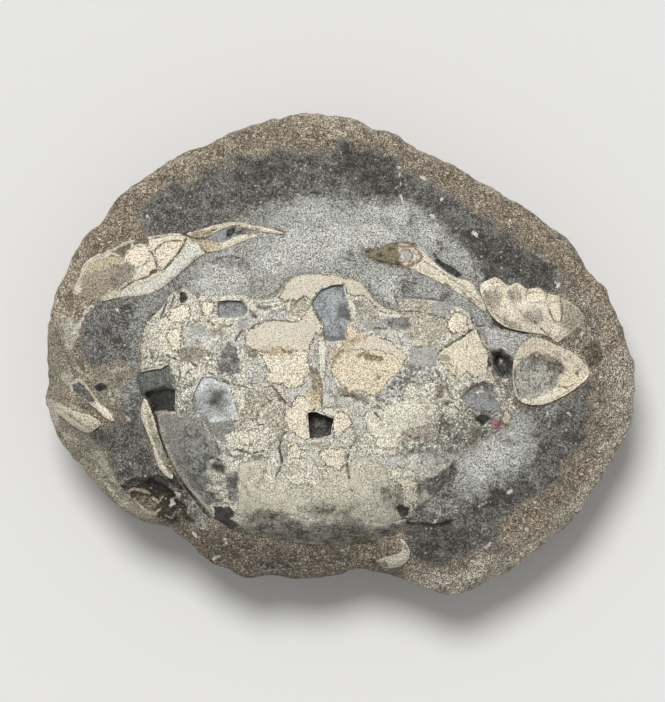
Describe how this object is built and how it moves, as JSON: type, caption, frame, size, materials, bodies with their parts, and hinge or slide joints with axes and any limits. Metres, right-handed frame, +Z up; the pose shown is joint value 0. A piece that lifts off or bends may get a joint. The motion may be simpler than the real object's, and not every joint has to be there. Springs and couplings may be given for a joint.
{
  "type": "fossil crab in a stone nodule",
  "caption": "Fossil crab seen from above in a rounded stone nodule: arched back shell with broken-out windows, folded claws and leg pieces let into the rock.",
  "frame": {"origin": "centre of the bounding box at its lowest level, where the nodule rests", "axes": "+X to the crab's right-hand claw and along the longest side, +Y to the crab's front, +Z up out of the shell"},
  "size_m": [0.1784, 0.1459, 0.0516],
  "materials": {
    "matrix_stone": "dull dark grey stone with pale specks, under a coarse brown rind at its edge and underneath",
    "back_shell": "fossil shell worn smooth, cream and grey in patches, with fine cracks and pores",
    "claw_shell": "cream fossil shell, slightly pink, worn smooth, with cracks and grey stone showing through",
    "leg_shell": "olive and cream fossil shell, dull and chipped"
  },
  "bodies": {
    "root": {"nodule": "matrix_stone", "carapace": "back_shell", "left_claw_palm": "claw_shell", "left_claw_finger": "claw_shell", "right_claw_palm": "claw_shell", "right_claw_finger": "claw_shell", "right_claw_wrist": "claw_shell", "side_plate": "back_shell", "leg_fragment_front": "leg_shell", "leg_fragment_rear": "leg_shell", "rear_hook": "leg_shell"}
  },
  "joints": []
}
